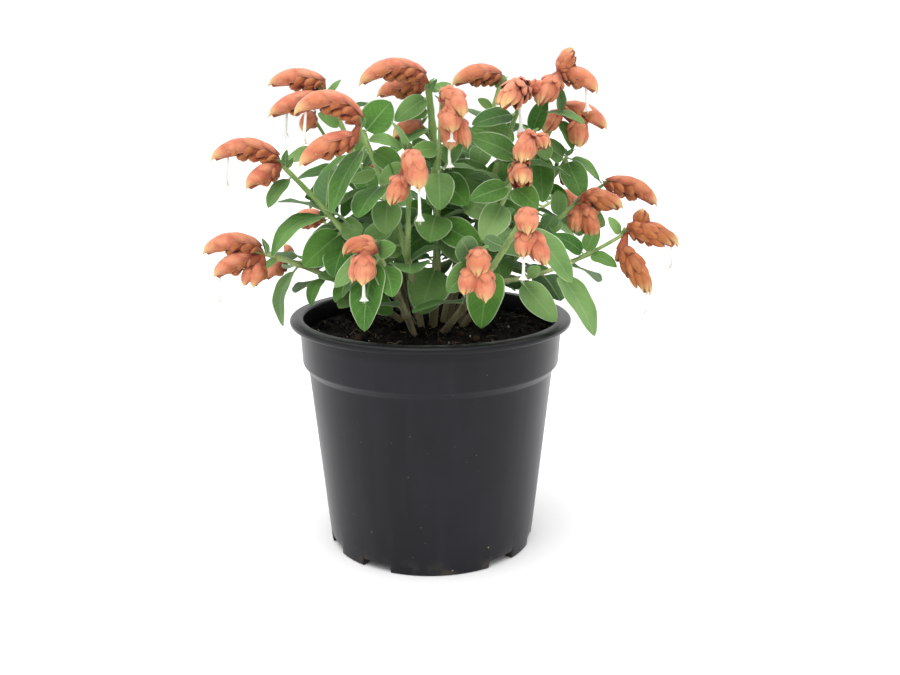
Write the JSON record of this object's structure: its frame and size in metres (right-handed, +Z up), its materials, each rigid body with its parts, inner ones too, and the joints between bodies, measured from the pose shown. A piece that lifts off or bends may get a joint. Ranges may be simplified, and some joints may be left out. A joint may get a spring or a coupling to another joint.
{
  "type": "potted shrimp plant",
  "caption": "Shrimp plant with drooping spikes of overlapping bracts on leafy stems, rooted in soil in a round tapered nursery pot.",
  "frame": {"origin": "centre of the pot's base, on the surface it stands on", "axes": "+Z up, +X to the plant's right as seen from its front, -Y towards the front"},
  "size_m": [0.2771, 0.2124, 0.2986],
  "materials": {
    "pot": "satin black moulded plastic",
    "soil": "loose moist peat with fibres and white specks",
    "foliage": "soft leaf with fine veins and hairy edges",
    "bracts": "papery coral bracts with cream tips"
  },
  "bodies": {
    "root": {"flower_head_a": "bracts", "flower_head_b": "bracts", "flower_head_c": "bracts", "flower_head_d": "bracts", "flower_head_e": "bracts", "flower_head_f": "bracts", "flower_head_g": "bracts", "flower_head_h": "bracts", "flower_head_i": "bracts", "flower_head_j": "bracts", "flower_head_k": "bracts", "flower_head_l": "bracts", "flower_head_m": "bracts", "flower_head_n": "bracts", "flower_head_o": "bracts", "flower_head_p": "bracts", "flower_head_q": "bracts", "flower_head_r": "bracts", "flower_head_s": "bracts", "flower_head_t": "bracts", "flower_head_u": "bracts", "flower_head_v": "bracts", "flower_head_w": "bracts", "flower_head_wl": "bracts", "flower_head_x": "bracts", "flower_head_xr": "bracts", "flower_head_y": "bracts", "flower_head_z": "bracts", "leafy_stem_a": "foliage", "leafy_stem_b": "foliage", "leafy_stem_c": "foliage", "leafy_stem_d": "foliage", "leafy_stem_e": "foliage", "leafy_stem_g": "foliage", "leafy_stem_h": "foliage", "leafy_stem_i": "foliage", "leafy_stem_l": "foliage", "leafy_stem_n": "foliage", "leafy_stem_o": "foliage", "leafy_stem_v": "foliage", "leafy_stem_w": "foliage", "leafy_stem_x": "foliage", "pot": "pot", "soil": "soil"}
  },
  "joints": []
}
